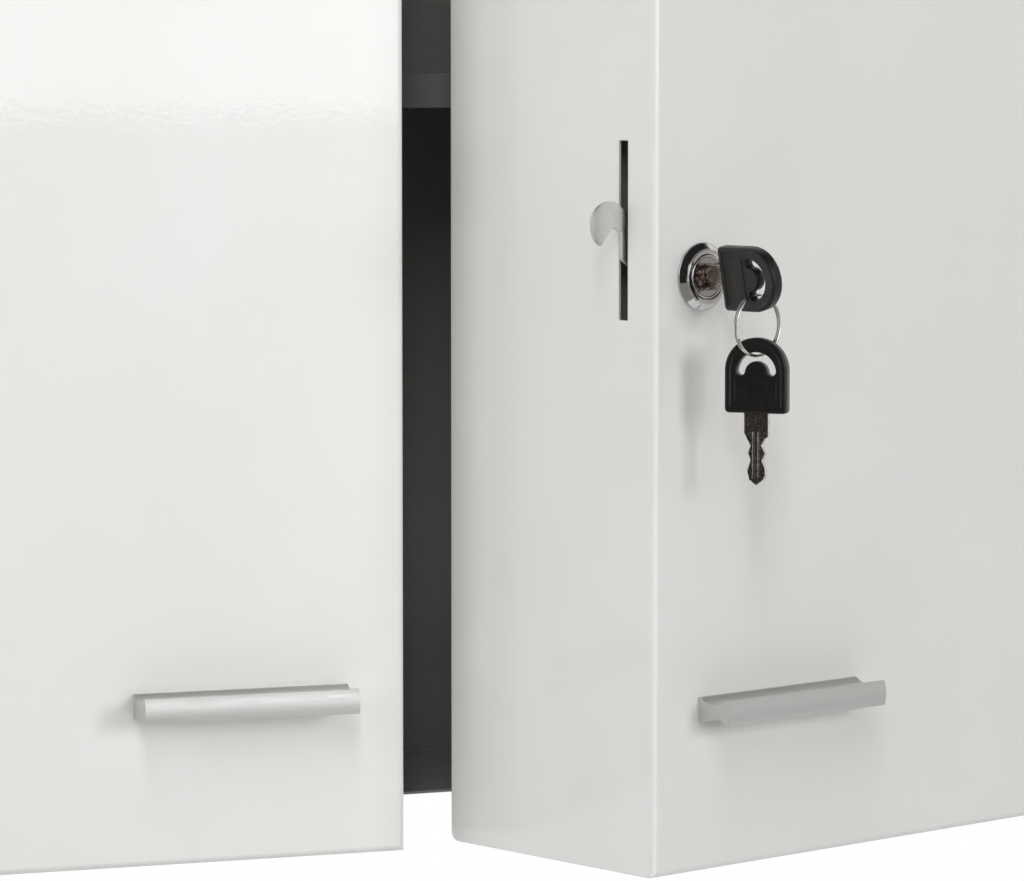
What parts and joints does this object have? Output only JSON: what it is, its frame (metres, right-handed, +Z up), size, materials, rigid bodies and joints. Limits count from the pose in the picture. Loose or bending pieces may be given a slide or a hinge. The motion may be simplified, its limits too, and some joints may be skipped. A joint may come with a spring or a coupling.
{
  "type": "lockable medicine cabinet",
  "caption": "Wall-hung steel medicine cabinet with two deep box doors, inner shelves, pull handles and a hook lock with a key and a spare on a split ring.",
  "frame": {"origin": "centre of the four wall holes, on the back face", "axes": "+Z up, -Y out of the wall towards the user, +X to the right as seen from the front"},
  "size_m": [0.5703, 0.313, 0.53],
  "materials": {
    "white_powder_coat": "glossy powder coat with fine orange peel",
    "dark_powder_coat": "satin dark grey powder coat",
    "zinc_plate": "bright zinc plate",
    "satin_aluminium": "satin anodised",
    "bright_chrome": "bright chrome plate",
    "plug_chrome": "chrome plate with a darker recessed band",
    "ring_wire": "nickel-plated spring wire",
    "dark_nickel": "dark nickel plate, stamped",
    "key_plastic": "moulded black plastic, slight sheen",
    "bumper_rubber": "matt black rubber"
  },
  "bodies": {
    "cabinet": {"body_shell": "dark_powder_coat", "back_panel": "dark_powder_coat", "body_shelf": "dark_powder_coat", "shelf_clips": "zinc_plate", "left_body_leaves": "zinc_plate", "right_body_leaves": "zinc_plate", "left_hinge_pins": "zinc_plate", "right_hinge_pins": "zinc_plate", "body_hinge_rivets": "zinc_plate"},
    "left_door": {"left_door_shell": "white_powder_coat", "left_door_shelves": "dark_powder_coat", "left_strike_cover": "dark_powder_coat", "left_handle": "satin_aluminium", "left_handle_screws": "zinc_plate", "left_bumpers": "bumper_rubber", "left_door_leaves": "zinc_plate", "left_door_rivets": "zinc_plate"},
    "right_door": {"right_door_shell": "white_powder_coat", "right_door_shelves": "dark_powder_coat", "right_lock_cover": "dark_powder_coat", "right_handle": "satin_aluminium", "right_handle_screws": "zinc_plate", "right_bumpers": "bumper_rubber", "right_door_leaves": "zinc_plate", "right_door_rivets": "zinc_plate", "lock_barrel": "bright_chrome", "lock_nut": "zinc_plate"},
    "lock": {"lock_plug": "plug_chrome", "hook_cam": "zinc_plate", "cam_nut": "zinc_plate"},
    "key": {"key_blade": "dark_nickel", "key_bow": "key_plastic"},
    "ring": {"split_ring": "ring_wire"},
    "spare_key": {"spare_key_blade": "dark_nickel", "spare_key_bow": "key_plastic"}
  },
  "joints": [
    {"name": "left_door_hinge", "type": "hinge", "parent": "cabinet", "child": "left_door", "pos_m": [-0.2678, -0.099, 0], "axis": [0, 0, -1], "range_deg": [-1.7, 163.3]},
    {"name": "right_door_hinge", "type": "hinge", "parent": "cabinet", "child": "right_door", "pos_m": [0.2678, -0.099, 0], "axis": [0, 0, 1], "range_deg": [-20.5, 144.5]},
    {"name": "lock_turn", "type": "hinge", "parent": "right_door", "child": "lock", "pos_m": [0.06981, -0.27018, -0.0684], "axis": [-0.3502, 0.9367, 0], "range_deg": [0, 90]},
    {"name": "key_pull", "type": "slide", "parent": "lock", "child": "key", "axis": [0.3502, -0.9367, 0], "range_m": [0, 0.028]},
    {"name": "ring_swing", "type": "hinge", "parent": "key", "child": "ring", "pos_m": [0.0829, -0.30236, -0.07348], "axis": [-0.3502, 0.9367, 0], "range_deg": [-18, 4]},
    {"name": "spare_key_swing", "type": "hinge", "parent": "ring", "child": "spare_key", "pos_m": [0.0829, -0.30236, -0.09323], "axis": [0.9367, 0.3502, 0], "range_deg": [-15, 15]}
  ]
}
